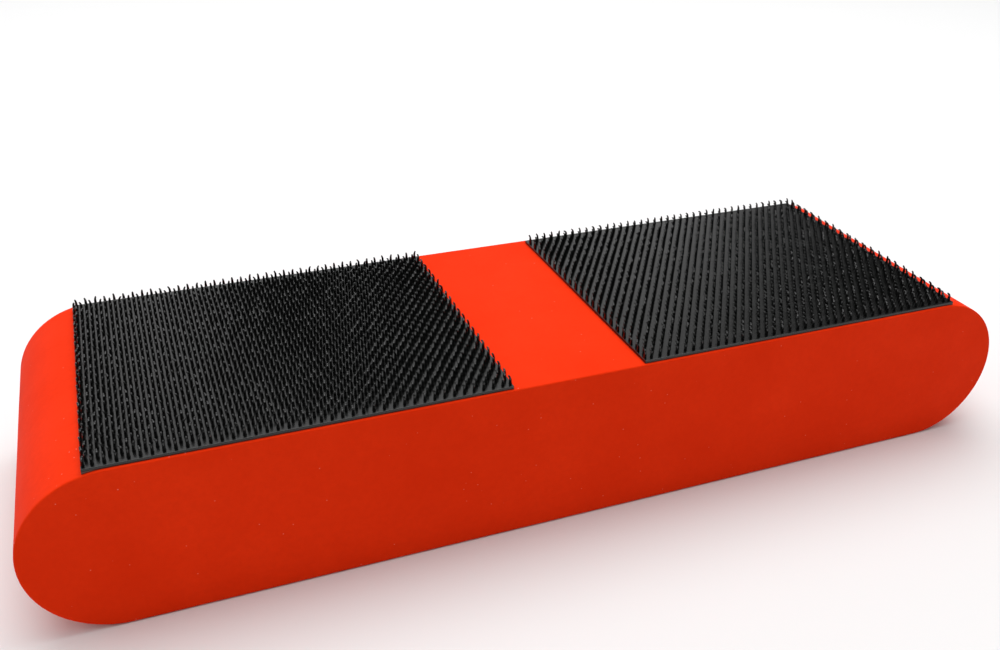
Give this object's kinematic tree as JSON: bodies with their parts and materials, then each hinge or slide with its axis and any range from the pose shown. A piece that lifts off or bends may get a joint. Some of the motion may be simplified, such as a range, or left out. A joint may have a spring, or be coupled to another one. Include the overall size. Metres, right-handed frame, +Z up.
{
  "type": "drum anchor block",
  "caption": "Foam stop block with half-round ends and two hook-pin mats that grip carpet, to keep a bass drum or pedal from creeping.",
  "frame": {"origin": "centre of the block's underside, the face opposite the mats", "axes": "+X along the block's length, +Y from front face to back face, +Z up towards the mats; in use the block is turned over, so that the pins face the carpet"},
  "size_m": [0.33, 0.1016, 0.0566],
  "materials": {
    "foam": "matte skin of a cut closed-cell foam",
    "adhesive": "dark amber contact adhesive, thin and glossy",
    "mat": "satin moulded polyethylene",
    "ink": "flat screen-printing ink"
  },
  "bodies": {
    "root": {"foam_block": "foam", "left_adhesive": "adhesive", "right_adhesive": "adhesive", "left_grip_mat": "mat", "right_grip_mat": "mat", "printed_mark": "ink"}
  },
  "joints": []
}
